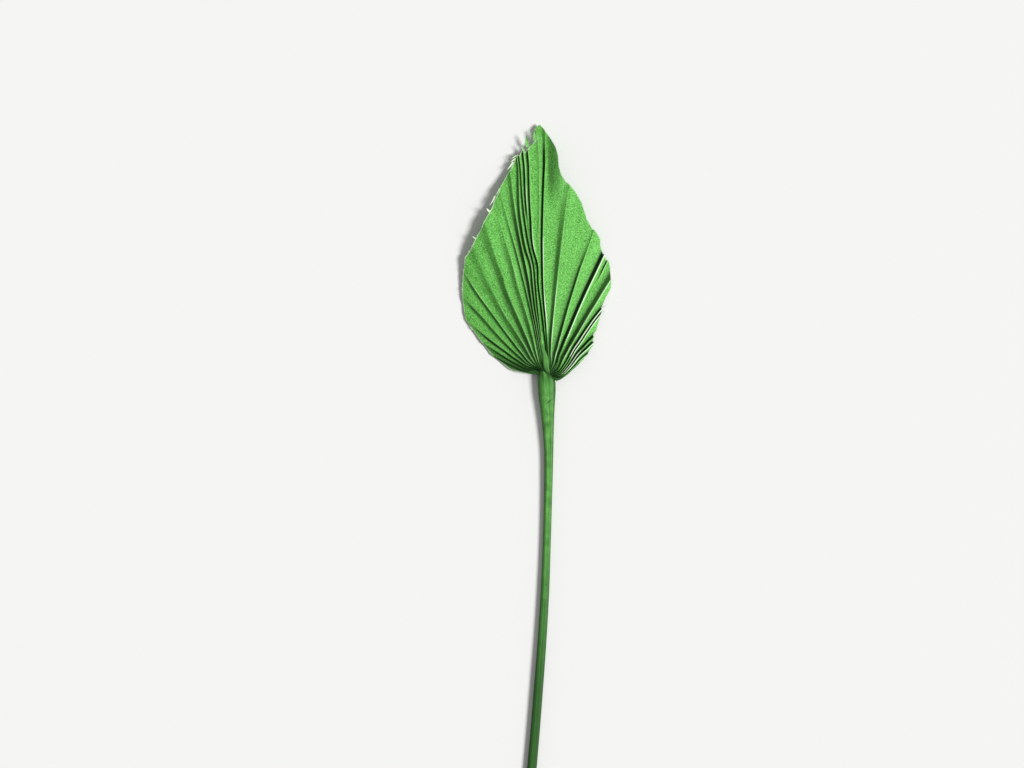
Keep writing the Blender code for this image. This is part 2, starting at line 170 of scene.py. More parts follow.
def between(value, rises, falls):
    """1 along a stretch, fading in over its start and out over its end."""
    return smooth(*rises, value) * smooth(*reversed(falls), value)


def eased(values, at, places):
    """Values between stations on a smooth curve through them (Catmull-Rom)."""
    values, places = np.asarray(values, dtype=float), np.asarray(places, dtype=float)
    at = np.clip(at, places[0], places[-1])
    k = np.clip(np.searchsorted(places, at, side="right") - 1, 0, len(places) - 2)
    span = places[k + 1] - places[k]
    t = (at - places[k]) / span
    slopes = np.gradient(values, places)
    ends = (2 * t ** 3 - 3 * t ** 2 + 1) * values[k] + (3 * t ** 2 - 2 * t ** 3) * values[k + 1]
    return ends + span * ((t ** 3 - 2 * t ** 2 + t) * slopes[k] + (t ** 3 - t ** 2) * slopes[k + 1])


def noise_at(*place):
    """Smooth noise, -1 to 1, at places given as three lists or numbers."""
    return np.array([noise.noise(Vector(spot)) for spot in np.broadcast(*place)])


# The trimmed edge as distance from the hub by direction, read along its straight cuts
cuts = np.arange(0, len(EDGE) - 1 + 0.01, 0.1)
edge_x, edge_y = (np.interp(cuts, range(len(EDGE)), [p[k] * MM for p in EDGE]) for k in (0, 1))
edge_direction = np.maximum.accumulate(np.degrees(np.arctan2(edge_x, edge_y)))
edge_distance = np.hypot(edge_x, edge_y)


def middle_of(k, distance):
    """Direction of the middle of a steep face, at distances from the hub."""
    return eased(pleats[k].middle, distance, np.array(DISTANCES) * MM)


def face_sides(k, distance):
    """Directions of the valley and the crest of a steep face, at distances from the hub."""
    middle = middle_of(k, distance)
    room = np.full_like(middle, 360.0)
    for other in (k - 1, k + 1):
        if 0 <= other < len(pleats):
            begun = distance >= pleats[other].begins * MM
            gap = np.abs(middle_of(other, distance) - middle)
            room = np.where(begun, np.minimum(room, gap), room)
    at_hub, at_far = pleats[k].width
    width = (at_hub + (at_far - at_hub) * np.minimum(distance / FAR, 1)) * MM
    half = np.minimum(np.degrees(width / distance), WIDEST_SHARE * room) / 2
    return middle - half, middle + half


def rim_along(direction_at):
    """Distance from the hub at which a line of the fan meets the trimmed edge."""
    rim = np.array([100 * MM])
    for _ in range(EDGE_TURNS):
        rim = np.interp(direction_at(rim), edge_direction, edge_distance)
    return rim


# Lines of the fan: the pleat to the left of each, whether it lies on the fall or the climb, and its
# share of the way across. They crowd together behind each crest.
lines = []
for k in range(len(pleats) - 1):
    rims = [rim_along(lambda rim, side=side: middle_of(side, rim))[0] for side in (k, k + 1)]
    left, right = (middle_of(side, rim) for side, rim in zip((k, k + 1), rims))
    width = math.radians(right - left) * max(rims)
    falls = int(np.clip(round(width / RIM_STEP), FEWEST_ON_FALL, MOST_ON_FALL))
    lines += [(k, "fall", (step / falls) ** CROWDED) for step in range(falls)]
    lines += [(k, "climb", step / CLIMB_STEPS) for step in range(CLIMB_STEPS)]
lines.append((len(pleats) - 2, "climb", 1.0))


def line_direction(line, distance):
    """Direction of a line of the fan at distances from the hub."""
    k, part, t = line
    valley, next_crest = face_sides(k + 1, distance)
    if part == "climb":
        return valley + t * (next_crest - valley)
    crest = face_sides(k, distance)[1]
    return crest + t * (valley - crest)


def in_bundle(direction):
    """1 in the bundle of narrow pleats left of the middle, 0 outside it."""
    return between(direction, (-21, -18), (-1.5, 0.5))


# The sheet starts as a flat grid with one column for each line of the fan
bpy.ops.object.select_all(action="DESELECT")
bpy.ops.mesh.primitive_grid_add(x_subdivisions=len(lines) - 1, y_subdivisions=ROWS, size=1)
blade = bpy.context.object
blade.name = blade.data.name = "leaf_blade"
count = len(blade.data.vertices)
flat = np.zeros(count * 3)
blade.data.vertices.foreach_get("co", flat)
flat = flat.reshape(-1, 3)
column = np.rint((flat[:, 0] + 0.5) * (len(lines) - 1)).astype(int)
share = 1 - (0.5 - flat[:, 1]) ** RIM_CROWDING

# Along each line: how far it reaches, the height of the fold, the dye's wear with a painted highlight on
# its crest, and the painted shade in its valley
# The cut wanders this much. The dye's wear on each crest, with its painted highlight, is this wide, and
# this strong all along the bundle and the right side
CUT_WANDER, WEAR_AND_HIGHLIGHT_WIDTH = 0.30 * MM, 0.40 * MM
RUBBED_AND_HIGHLIGHT_ALL_ALONG, DARKER_AT_HUB, FALL_SHADE = 0.45, 0.7, 0.9
direction, distance, reach, fold, wear_and_highlight, valley_shade = (np.zeros(count) for _ in range(6))
for c, line in enumerate(lines):
    k, part, t = line
    here, after = pleats[k], pleats[k + 1]
    mine = column == c

    # The line runs out to the cut, which is a little ragged and on the right dips at each valley
    rim = rim_along(lambda rim: line_direction(line, rim))
    rim_direction = line_direction(line, rim)[0]
    level = (1 - t) ** FALL_POWER if part == "fall" else t ** CLIMB_POWER
    if rim_direction > TOOTHED_FROM:
        rim = rim - TOOTH * (1 - level) * min(1, rim[0] / FULL_DEPTH_AT)
    rim = rim - CUT_WANDER * np.abs(noise_at(rim_direction * 1.3, 4.4, 0))
    out = FAN_START + (rim[0] - FAN_START) * share[mine]
    turned = line_direction(line, out)
    distance[mine], direction[mine], reach[mine] = out, turned, rim[0]

    # Each pleat has its own height, which passes into its neighbour's across the fall
    heights = []
    for pleat in (here, after):
        left_over, fades_from = pleat.fading
        height = 1 - (1 - left_over) * smooth(fades_from, 1.0, share[mine])
        if pleat.begins:
            height = height * smooth(0, 1, (out - pleat.begins * MM) / BEGIN_OVER)
        heights.append(height)
    mix = t if part == "fall" else 1.0
    size = (here.height * heights[0] * (1 - mix) + after.height * heights[1] * mix) * MM
    crisp = 1 - smooth(CRISP_UNTIL, SOFT_FROM, out)
    soft = (here if part == "fall" else after).softness * (1 - crisp)
    wave = 1 - smooth(0, 1, t) if part == "fall" else smooth(0, 1, t)
    fold[mine] = size * (level * (1 - soft) + wave * soft - 0.5)

    # Dye wears off behind the crest, and a highlight is painted along it
    if part == "fall":
        amount, begins, ends = here.rubbed
        along_crest = between(out / MM, (begins - 8, begins + 4), (ends - 5, ends + 5))
        all_along = np.maximum(in_bundle(turned), smooth(3, 8, turned))
        rubbed = np.maximum(amount * along_crest, RUBBED_AND_HIGHLIGHT_ALL_ALONG * all_along)
        off_crest = np.radians(turned - face_sides(k, out)[1]) * out
        wear_and_highlight[mine] = rubbed * heights[0] * np.exp(-(off_crest / WEAR_AND_HIGHLIGHT_WIDTH) ** 2)

    # Shade painted in the valley and up the steep face
    dark, spread = after.dyed
    # The painted shade is deeper near the hub and lighter on the fall
    dark = (dark + DARKER_AT_HUB * (1 - dark) * crisp) * (1 if part == "climb" else FALL_SHADE)
    off_valley = np.radians(np.maximum(face_sides(k + 1, out)[0] - turned, 0)) * out / MM
    valley_shade[mine] = dark * heights[1] * np.exp(-(off_valley / spread) ** 1.1)

# Seen from above, the folds waver slightly, and the very tip leans left over the notch beside it
WAVER, TIP_LEAN = 0.10, 2.1 * MM
far = distance / MM
wavering = noise_at(direction * 0.9, distance * 22, 3.7)
seen = np.radians(direction + WAVER * wavering * smooth(0.1, 0.4, share))
x, y = distance * np.sin(seen), distance * np.cos(seen)
x = x - TIP_LEAN * between(far, (159.5, 163.5), (164.5, 168)) * smooth(-0.8, -2.0, direction)

# The folds are shallow at the hub and on the tip
TIP_FLATNESS = 0.5
flat_tip = smooth(146, 160, far)
fold = fold * np.minimum(1, distance / FULL_DEPTH_AT) * smooth(1.5, 5, far) * (1 - TIP_FLATNESS * flat_tip)

# The sheet is arched, with both wings drooping, and it buckled, rippled and fluttered as it dried
BUCKLE, RIPPLE, FLUTTER = 0.40 * MM, 0.18 * MM, 0.6 * MM
wing = x / np.where(x < 0, LEFT_REACH, RIGHT_REACH)
z = HUB_HEIGHT + ARCH_SLOPE * y - ARCH_BEND * y * y - WING_DROP * wing ** 2 + fold
z = z + BUCKLE * noise_at(x * 38, y * 30, 1.3) * smooth(0.1, 0.5, share)
z = z + RIPPLE * noise_at(direction * 1.6, distance * 9, 8.1) * smooth(0.1, 0.35, share)
z = z + FLUTTER * noise_at(direction * 0.35, distance * 12, 5.2) * smooth(0.75, 1.0, share)

# Up the left side, the sheet swells back up towards the edge
SWELL, SWELL_AT = 4.6 * MM, (-49 * MM, 98 * MM)
SWELL_ACROSS, SWELL_ALONG = 20 * MM, 38 * MM
off_swell = ((x - SWELL_AT[0]) / SWELL_ACROSS) ** 2 + ((y - SWELL_AT[1]) / SWELL_ALONG) ** 2
z = z + SWELL * np.exp(-off_swell)

# The lower left side curls down to the table, and the right of the tip stands up in a ridge
CURL, RIDGE = 2.6 * MM, 3.4 * MM
z = z - CURL * smooth(-54, -74, direction) * smooth(10, 30, far) * smooth(0.2, 1.0, share)
z = z + RIDGE * between(direction, (-0.4, 3.0), (3.2, 6.5)) * smooth(108, 140, far)
z = np.maximum(z, SHEET + 0.1 * MM)
blade.data.vertices.foreach_set("co", np.stack([x, y, z], axis=1).ravel())

# Shade is painted darker round the hub, on the lowest pleats of both sides, down the lower left side, in
# the bundle, on the face right of the tip and on the flat strip in the middle, on top of the shade painted
# in the valleys.
# Each patch has its strength, its distances in millimetres and its directions.
STRIP = 13
hub_all_round = 0.75 * smooth(15, 4, far)
hub_left = 0.48 * smooth(32, 7, far) * smooth(-18, -45, direction)
low_right = 0.60 * smooth(22, 12, far) * smooth(80, 98, direction)
low_left = 0.50 * smooth(-64, -67, direction) * smooth(0.99, 0.90, share)
left_side = 0.15 * smooth(86, 42, far) * smooth(-8, -20, direction)
bundle = 0.18 * between(far, (22, 30), (56, 66)) * in_bundle(direction)
tip_face = 0.45 * between(direction, (-0.3, 0.8), (3.0, 5.4)) * smooth(108, 132, far)
off_strip = direction - middle_of(STRIP, distance)
strip = 0.36 * np.exp(-(off_strip / 0.8) ** 2) * between(far, (68, 78), (97, 105))
light = 1 - valley_shade * (1 - 0.35 * flat_tip)
for patch in (hub_all_round, hub_left, low_right, low_left, np.maximum(left_side, bundle), tip_face, strip):
    light = light * (1 - patch)

# The cut is pale, most of all left of the tip, and so is the rim of the sheet on the lower left
patchy = noise_at(direction * 0.8, distance * 60, 6.6)
cut_paleness = np.where(direction < -1.6, 0.9 + 0.1 * smooth(-30, -12, direction), 0.3)
cut = smooth(0.80 * MM, 0.20 * MM, reach - distance) * cut_paleness * np.clip(0.8 + 0.8 * patchy, 0.2, 1.0)
off_edge = np.array([np.hypot(edge_x - a, edge_y - b).min() for a, b in zip(x, y)]) / MM
margin = 0.45 * smooth(0.9, 0.2, off_edge) * smooth(-70, -76, direction) * smooth(12, 16, far)

# What the finish follows: these marks, and a map along the pleats in units of 100 mm
UV_UNIT, ARC_AT = 100 * MM, 60 * MM
marks = {
    # Wear of the dye on the crests, with a painted highlight
    "wear_and_highlight": np.minimum(wear_and_highlight * smooth(5, 15, far) * (0.9 + 0.7 * patchy), 1.0),
    # Painted shade of the valleys and of the darker patches
    "painted_shade": 1 - light,
    "cut_edge": np.maximum(cut, margin),
}
for name, values in marks.items():
    attribute = blade.data.attributes.new(name, "FLOAT", "POINT")
    attribute.data.foreach_set("value", np.asarray(values, dtype=np.float32))
corner_vertex = np.zeros(len(blade.data.loops), dtype=np.int32)
blade.data.loops.foreach_get("vertex_index", corner_vertex)
along = np.stack([np.radians(direction) * ARC_AT, distance], axis=1) / UV_UNIT
blade.data.uv_layers[0].data.foreach_set("uv", along[corner_vertex].ravel())

# The sheet is given its thickness downwards, so that neighbouring pleats never cross
bpy.ops.object.mode_set(mode="EDIT")
bpy.ops.mesh.select_all(action="SELECT")
bpy.ops.mesh.extrude_region_move(TRANSFORM_OT_translate={"value": (0, 0, -SHEET)})
bpy.ops.mesh.select_all(action="SELECT")
bpy.ops.mesh.normals_make_consistent(inside=False)
bpy.ops.object.mode_set(mode="OBJECT")
bpy.ops.object.shade_smooth_by_angle(angle=math.radians(32))


def linear(hex_colour):
    """The linear RGBA of an sRGB hex colour."""
    channels = [int(hex_colour[i:i + 2], 16) / 255 for i in (1, 3, 5)]
    return [c / 12.92 if c <= 0.04045 else ((c + 0.055) / 1.055) ** 2.4 for c in channels] + [1.0]


def add_node(tree, kind, inputs=None, **settings):
    """Adds a node, sets it up, and links or fills each of its inputs."""
    made = tree.nodes.new(kind)
    for name, value in settings.items():
        setattr(made, name, value)
    for name, value in (inputs or {}).items():
        if isinstance(value, bpy.types.NodeSocket):
            tree.links.new(value, made.inputs[name])
        else:
            made.inputs[name].default_value = value
    return made


# The sockets of the two colours on a node that mixes colours
FIRST, SECOND = 6, 7

# Dyed dried palm leaf: the dye soaks in unevenly between the fine veins and rubs off the crests and the cut
# edge, where the straw-pale leaf shows. A highlight is painted along the crests with that wear, and shade
# is painted in the valleys and over darker patches. The skin keeps a dull wax, and its grain is drawn a
# little coarser than the real one, so that it shows at arm's length.
LIGHT_GREEN, DEEP_GREEN = "#84DC6A", "#3F8A2E"
PAINTED_SHADE_GREEN, RUBBED_AND_HIGHLIGHT_GREEN, BARE_AND_HIGHLIGHT_PALE, CUT_PALE = "#12300C", "#98E67C", "#F6FDF0", "#E6F7DA"
VEIN_SPACING, VEIN_LENGTH = 0.7 * MM, 28 * MM
CLOUD_SIZE, GRAIN_SIZE = 11 * MM, 0.62 * MM

leaf = bpy.data.materials.new("dyed dried palm leaf")
leaf.use_nodes = True
tree = leaf.node_tree
tree.nodes.clear()
output = tree.nodes.new("ShaderNodeOutputMaterial")
place = tree.nodes.new("ShaderNodeTexCoord")
vein_map = add_node(tree, "ShaderNodeMapping", {
    "Vector": place.outputs["UV"],
    "Scale": (UV_UNIT / VEIN_SPACING, UV_UNIT / VEIN_LENGTH, 1),
})
veins = add_node(tree, "ShaderNodeTexNoise", {
    "Vector": vein_map.outputs[0], "Scale": 1.0, "Detail": 3.0, "Roughness": 0.6,
})
clouds = add_node(tree, "ShaderNodeTexNoise", {
    "Vector": place.outputs["Object"], "Scale": 1 / CLOUD_SIZE, "Detail": 3.0, "Roughness": 0.6,
})
grain = add_node(tree, "ShaderNodeTexNoise", {
    "Vector": place.outputs["Object"], "Scale": 1 / GRAIN_SIZE, "Detail": 0.0, "Roughness": 0.6,
})
cloudy = add_node(tree, "ShaderNodeMath", {
    0: clouds.outputs["Fac"], 1: 0.6, 2: veins.outputs["Fac"],
}, operation="MULTIPLY_ADD")
tone = add_node(tree, "ShaderNodeMath", {
    0: grain.outputs["Fac"], 1: 5.0, 2: cloudy.outputs[0],
}, operation="MULTIPLY_ADD")
tone = add_node(tree, "ShaderNodeMapRange", {
    "Value": tone.outputs[0], "From Min": 1.95, "From Max": 4.48,
})
green = add_node(tree, "ShaderNodeMix", {
    "Factor": tone.outputs[0], FIRST: linear(DEEP_GREEN), SECOND: linear(LIGHT_GREEN),
}, data_type="RGBA")
# Painted shade, mixed towards a dark green
painted_shade = add_node(tree, "ShaderNodeAttribute", attribute_name="painted_shade")
green = add_node(tree, "ShaderNodeMix", {
    "Factor": painted_shade.outputs["Fac"], FIRST: green.outputs[2], SECOND: linear(PAINTED_SHADE_GREEN),
}, data_type="RGBA")
# The crests turn pale green where the dye wears off, and near white where the painted highlight is
# strongest
wear_and_highlight_mark = add_node(tree, "ShaderNodeAttribute", attribute_name="wear_and_highlight")
green = add_node(tree, "ShaderNodeMix", {
    "Factor": wear_and_highlight_mark.outputs["Fac"], FIRST: green.outputs[2], SECOND: linear(RUBBED_AND_HIGHLIGHT_GREEN),
}, data_type="RGBA")
bare_and_highlight = add_node(tree, "ShaderNodeMath", {0: wear_and_highlight_mark.outputs["Fac"], 1: 2.6}, operation="POWER")
green = add_node(tree, "ShaderNodeMix", {
    "Factor": bare_and_highlight.outputs[0], FIRST: green.outputs[2], SECOND: linear(BARE_AND_HIGHLIGHT_PALE),
}, data_type="RGBA")
at_cut = add_node(tree, "ShaderNodeAttribute", attribute_name="cut_edge")
green = add_node(tree, "ShaderNodeMix", {
    "Factor": at_cut.outputs["Fac"], FIRST: green.outputs[2], SECOND: linear(CUT_PALE),
}, data_type="RGBA")
relief = add_node(tree, "ShaderNodeMath", {
    0: veins.outputs["Fac"], 1: grain.outputs["Fac"],
}, operation="ADD")
bump = add_node(tree, "ShaderNodeBump", {
    "Height": relief.outputs[0], "Strength": 0.35, "Distance": 0.15 * MM,
})
roughness = add_node(tree, "ShaderNodeMapRange", {
    "Value": grain.outputs["Fac"], "To Min": 0.50, "To Max": 0.72,
})
shader = add_node(tree, "ShaderNodeBsdfPrincipled", {
    "Base Color": green.outputs[2], "Roughness": roughness.outputs[0], "Normal": bump.outputs[0],
    "IOR": 1.45, "Specular IOR Level": 0.20,
})
tree.links.new(shader.outputs[0], output.inputs["Surface"])
blade.data.materials.clear()
blade.data.materials.append(leaf)

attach(blade, "root")
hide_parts("palm_spear")

# THE TORN EDGE
# Where the scissors crossed the pleats, slivers of leaf tore loose and fine fibres stand out of the
# cut. They are strips of the same leaf, still fast at one end, most of them up the left of the tip.

# The larger slivers: x and y of the root and of the end, width and rise in millimetres, and paleness
SLIVERS = [
    ((-7.6, 156.2), (-8.0, 163.0), 3.0, 1.0, 0.12), ((-12.6, 152.0), (-13.9, 159.5), 2.6, 0.8, 0.1),
    ((-15.6, 149.6), (-16.4, 152.8), 1.6, 0.6, 0.3), ((-21.0, 144.6), (-24.2, 142.3), 1.0, 0.7, 0.9),
    ((-20.6, 146.4), (-23.9, 144.2), 0.8, 1.0, 0.6), ((-22.6, 142.2), (-26.6, 136.9), 1.2, 1.2, 1.0),
    ((-31.4, 124.6), (-34.6, 119.4), 1.0, 0.7, 0.5), ((-34.6, 119.6), (-38.4, 112.8), 0.9, 0.9, 1.0),
    ((-37.9, 108.8), (-40.2, 111.2), 1.4, 0.9, 1.0), ((-47.2, 91.0), (-49.6, 92.8), 1.1, 0.6, 0.6),
    ((35.4, 45.4), (38.4, 46.4), 0.6, 0.5, 0.2), ((35.8, 43.2), (38.2, 42.2), 0.6, 0.4, 0.4),
    ((36.6, 81.6), (38.4, 79.6), 0.8, 0.5, 0.2),
]
# The fibres: how many, and the ranges that their places and sizes are drawn from
FIBRES, FIBRE_SEED = 34, 11
FIBRE_SIDES, FIBRE_TURN = (-62, 60), (-35, 35)    # in degrees
FIBRE_LENGTH, FIBRE_WIDTH, FIBRE_RISE = (0.7, 2.0), (0.18, 0.34), (-0.3, 0.6)    # in millimetres
FIBRE_HOLD, FIBRE_PALENESS = 0.8, 0.7
# Every strip: its steps and thickness, how low it may lie, and how it narrows, bows and curls up
SLIVER_STEPS, SLIVER_SHEET, LOWEST = 7, 0.22 * MM, 0.4 * MM
SLIVER_TAPER, SLIVER_BOW, SLIVER_CURL = 0.9, 0.05, 0.5

# They root just inside the cut and stand out of it at a slant
chance = np.random.default_rng(FIBRE_SEED)
fibres = []
for _ in range(FIBRES):
    at = chance.uniform(*FIBRE_SIDES)
    rim = np.interp(at, edge_direction, edge_distance) / MM
    outward = np.array([math.sin(math.radians(at)), math.cos(math.radians(at))])
    slant = math.radians(at + chance.uniform(*FIBRE_TURN))
    long = chance.uniform(*FIBRE_LENGTH)
    end = outward * (rim - 0.2) + np.array([math.sin(slant), math.cos(slant)]) * long
    width = chance.uniform(*FIBRE_WIDTH)
    rise = chance.uniform(*FIBRE_RISE)
    fibres.append((outward * (rim - FIBRE_HOLD), end, width, rise, FIBRE_PALENESS))

made = []
for root, end, width, rise, paleness in SLIVERS + fibres:
    bpy.ops.object.select_all(action="DESELECT")
    bpy.ops.mesh.primitive_grid_add(x_subdivisions=2, y_subdivisions=SLIVER_STEPS, size=1)
    sliver = bpy.context.object
    root, run = np.array(root) * MM, (np.array(end) - np.array(root)) * MM
    aside = np.array([-run[1], run[0]]) / np.hypot(*run)
    ground = z[np.argmin((x - root[0]) ** 2 + (y - root[1]) ** 2)]
    bow = SLIVER_BOW * np.hypot(*run)
    for vertex in sliver.data.vertices:
        across, up = vertex.co.x, vertex.co.y + 0.5
        off_line = across * width * MM * (1 - SLIVER_TAPER * up ** 2) + bow * up * (1 - up) * 4
        spot = root + run * up + aside * off_line
        curled = abs(across) * SLIVER_CURL * width * MM * up
        vertex.co = (spot[0], spot[1], max(ground + rise * MM * up ** 1.6 + curled, LOWEST))
    mark = sliver.data.attributes.new("cut_edge", "FLOAT", "POINT")
    mark.data.foreach_set("value", np.full(len(sliver.data.vertices), paleness, dtype=np.float32))
    bpy.ops.object.mode_set(mode="EDIT")
    bpy.ops.mesh.select_all(action="SELECT")
    bpy.ops.mesh.extrude_region_move(TRANSFORM_OT_translate={"value": (0, 0, -SLIVER_SHEET)})
    bpy.ops.mesh.select_all(action="SELECT")
    bpy.ops.mesh.normals_make_consistent(inside=False)
    bpy.ops.object.mode_set(mode="OBJECT")
    made.append(sliver)
bpy.ops.object.select_all(action="DESELECT")
for sliver in made:
    sliver.select_set(True)
torn = made[0]
bpy.context.view_layer.objects.active = torn
bpy.ops.object.join()
bpy.ops.object.transform_apply(location=True, rotation=True, scale=True)
torn.name = torn.data.name = "torn_edge"
torn.data.materials.clear()
torn.data.materials.append(leaf)

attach(torn, "root")
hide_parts("palm_spear")

# THE STALK
# The leaf's own stalk, a tough fibrous stem, half round below and faintly channelled on top. It
# widens to a collar under the hub and ends there in a low rim, and a rib runs on from it as a smooth
# strip between the middle pleats.

# Along the stalk and along its rib: y, centre x, width, underside and top, in millimetres
STALK = [
    (-333.0, -18.0, 7.0, 0.0, 5.0), (-261.0, -10.1, 6.5, 0.0, 4.8), (-208.0, -5.7, 6.2, 0.0, 4.7),
    (-176.0, -3.3, 5.9, 0.0, 4.6), (-144.0, -1.4, 5.7, 0.0, 4.5), (-112.0, -0.2, 5.4, 0.0, 4.4),
    (-83.0, 0.6, 5.5, 0.0, 4.5), (-65.0, 1.0, 5.7, 0.0, 4.7), (-49.0, 1.1, 6.2, 0.0, 5.0),
    (-40.0, 0.9, 7.0, 0.0, 5.4), (-31.0, 0.6, 8.1, 0.0, 5.9), (-21.0, 0.2, 9.7, 0.0, 6.6),
    (-13.0, -0.1, 11.3, 0.0, 7.2), (-4.2, -0.3, 12.0, 0.0, 7.6), (-1.0, -0.4, 11.8, 0.0, 7.6),
    (0.4, -0.6, 11.2, 0.2, 7.3), (1.6, -1.0, 9.6, 0.8, 6.9), (2.6, -1.5, 7.0, 1.6, 6.2),
    (3.4, -1.8, 3.6, 3.0, 5.2),
]
RIB = [
    (1.6, 1.0, 1.4, 3.2, 5.6), (2.4, 0.7, 2.6, 3.2, 6.6), (3.6, 0.1, 3.8, 3.4, 7.0),
    (5.0, -0.4, 4.4, 3.6, 7.2), (7.5, -0.75, 4.6, 4.2, 7.4), (10.7, -0.95, 4.5, 4.8, 7.7),
    (14.0, -1.6, 3.8, 5.2, 7.9), (17.3, -2.6, 2.8, 6.0, 8.0), (20.7, -3.8, 1.8, 6.6, 8.0),
    (25.3, -4.9, 0.5, 7.0, 7.8),
]
# Half of its section, from the middle of the underside to the middle of the channel on top
SECTION = [(0.00, 0.00), (0.50, 0.00), (0.82, 0.13), (1.00, 0.42), (0.94, 0.70), (0.68, 0.93),
           (0.30, 1.00), (0.00, 0.985)]
SIDES, FIBRE_RELIEF = 72, 0.035

# Creases bent into the stalk while it dried: x and y of both ends in millimetres, and depth
CREASES = [((0.2, -17.8), (3.5, -15.2), 1.0), ((-2.0, -12.4), (1.5, -13.4), 0.35),
           ((-1.2, -21.5), (-0.9, -24.2), 0.5), ((-0.6, -139.2), (-0.5, -138.4), 1.0)]
# How wide and deep the creases are, and how strong the shade painted in them
CREASE_WIDTH, CREASE_DEPTH, CREASE_SHADE = 0.36 * MM, 0.18 * MM, 1.25


def crease_at(x, y):
    """How deep in a crease places on the stalk are, 0 to 1."""
    deepest = np.zeros_like(x)
    for start, end, depth in CREASES:
        run_x, run_y = (end[0] - start[0]) * MM, (end[1] - start[1]) * MM
        from_x, from_y = x - start[0] * MM, y - start[1] * MM
        along = np.clip((from_x * run_x + from_y * run_y) / (run_x ** 2 + run_y ** 2), 0, 1)
        away = np.hypot(from_x - along * run_x, from_y - along * run_y)
        deepest = np.maximum(deepest, depth * np.exp(-(away / CREASE_WIDTH) ** 2))
    return deepest


# Each with its outline, its rings, how they crowd towards the hub, and how far its rim slants there
rods = []
for name, outline, rings, crowd, slant in (
    ("leaf_stalk", STALK, 420, 1.7, 0.48),
    ("leaf_rib", RIB, 60, 1.0, 0.0),
):
    stretch = np.array(outline) * MM
    low_end, high_end = stretch[0, 0], stretch[-1, 0]
    bpy.ops.object.select_all(action="DESELECT")
    bpy.ops.mesh.primitive_grid_add(x_subdivisions=SIDES, y_subdivisions=rings, size=1)
    rod = bpy.context.object
    rod.name = rod.data.name = name

    # The grid is rolled into a tube, with long fibres standing out of its sides and top
    flat = np.zeros(len(rod.data.vertices) * 3)
    rod.data.vertices.foreach_get("co", flat)
    turn, way = flat[0::3] * 2, flat[1::3] + 0.5
    spot = low_end + (high_end - low_end) * (1 - (1 - way) ** crowd)
    centre, width, under, top = (eased(stretch[:, k], spot, stretch[:, 0]) for k in (1, 2, 3, 4))
    under = np.maximum(under, 0)
    corner = np.abs(turn) * (len(SECTION) - 1)
    aside = np.interp(corner, range(len(SECTION)), [p[0] for p in SECTION]) * np.sign(turn)
    up = np.interp(corner, range(len(SECTION)), [p[1] for p in SECTION])
    streak = noise_at(np.abs(turn) * 7, spot * 14, np.copysign(2.2, turn))
    fibre = 1 + FIBRE_RELIEF * streak * smooth(0.02, 0.2, up) * smooth(1, 0.9, np.abs(turn))
    x_at = centre + aside * fibre * width / 2
    y_at = spot - slant * aside * width / 2 * smooth(-14 * MM, -2 * MM, spot)
    z_at = under + up * fibre * (top - under)

    # Shade is painted on the stalk's flanks, in its creases and at the rim that it ends in. On the rib it
    # is painted along both sides and at both ends.
    if name == "leaf_stalk":
        crease = crease_at(x_at, y_at) * smooth(0.5, 0.8, up)
        z_at = z_at - CREASE_DEPTH * crease
        near = smooth(-30 * MM, -8 * MM, spot)
        left = 0.40 * smooth(-0.25, -0.5, aside) + 0.45 * smooth(-0.75, -0.97, aside)
        right = 0.42 * smooth(0.12, 0.42, aside)
        right = right + 0.6 * smooth(0.72 - 0.12 * near, 0.97 - 0.08 * near, aside)
        left_rim = 0.9 * smooth(-8 * MM, -1 * MM, spot) * smooth(-0.12, -0.45, aside)
        right_rim = 0.9 * smooth(-2.5 * MM, 0.5 * MM, spot) * smooth(-0.15, 0.15, aside)
        stalk_shade = np.maximum.reduce([left, right, left_rim, right_rim, CREASE_SHADE * crease])
    else:
        stalk_shade = np.maximum(smooth(0.35, 1.0, np.abs(aside)), 0.28 + 0.6 * np.abs(2 * way - 1) ** 3)
    rod.data.vertices.foreach_set("co", np.stack([x_at, y_at, z_at], axis=1).ravel())
    mark = rod.data.attributes.new("stalk_shade", "FLOAT", "POINT")
    mark.data.foreach_set("value", np.asarray(stalk_shade, dtype=np.float32))

    # Its seam is merged and both ends are closed
    bpy.ops.object.mode_set(mode="EDIT")
    bpy.ops.mesh.select_all(action="SELECT")
    bpy.ops.mesh.remove_doubles(threshold=0.001 * MM)
    bpy.ops.mesh.fill_holes(sides=0)
    bpy.ops.mesh.select_all(action="SELECT")
    bpy.ops.mesh.normals_make_consistent(inside=False)
    bpy.ops.object.mode_set(mode="OBJECT")
    bpy.ops.object.shade_smooth_by_angle(angle=math.radians(40))
    rods.append(rod)

# Dyed palm stalk: the same dye over a denser, smoother skin with long fibres, darker away from the blade,
# and with shade painted on its flanks. Its cut end shows the pale pith between the fibres' ends.
STALK_LIGHT, STALK_DEEP, STALK_LOW, STALK_SHADE_GREEN = "#76C45F", "#3F7C31", "#2E6024", "#153A0F"
STALK_SHADE_STRENGTH, LOW_DARK = 0.80, 0.95
PITH_PALE, PITH_FIBRE = "#C6CF96", "#5F8A45"
STRAND_WIDTH, STRAND_LENGTH, BLOTCH_SIZE = 0.55 * MM, 45 * MM, 6 * MM
LOW_FROM, LOW_TO, CUT_END = -90 * MM, -210 * MM, STALK[0][0] * MM

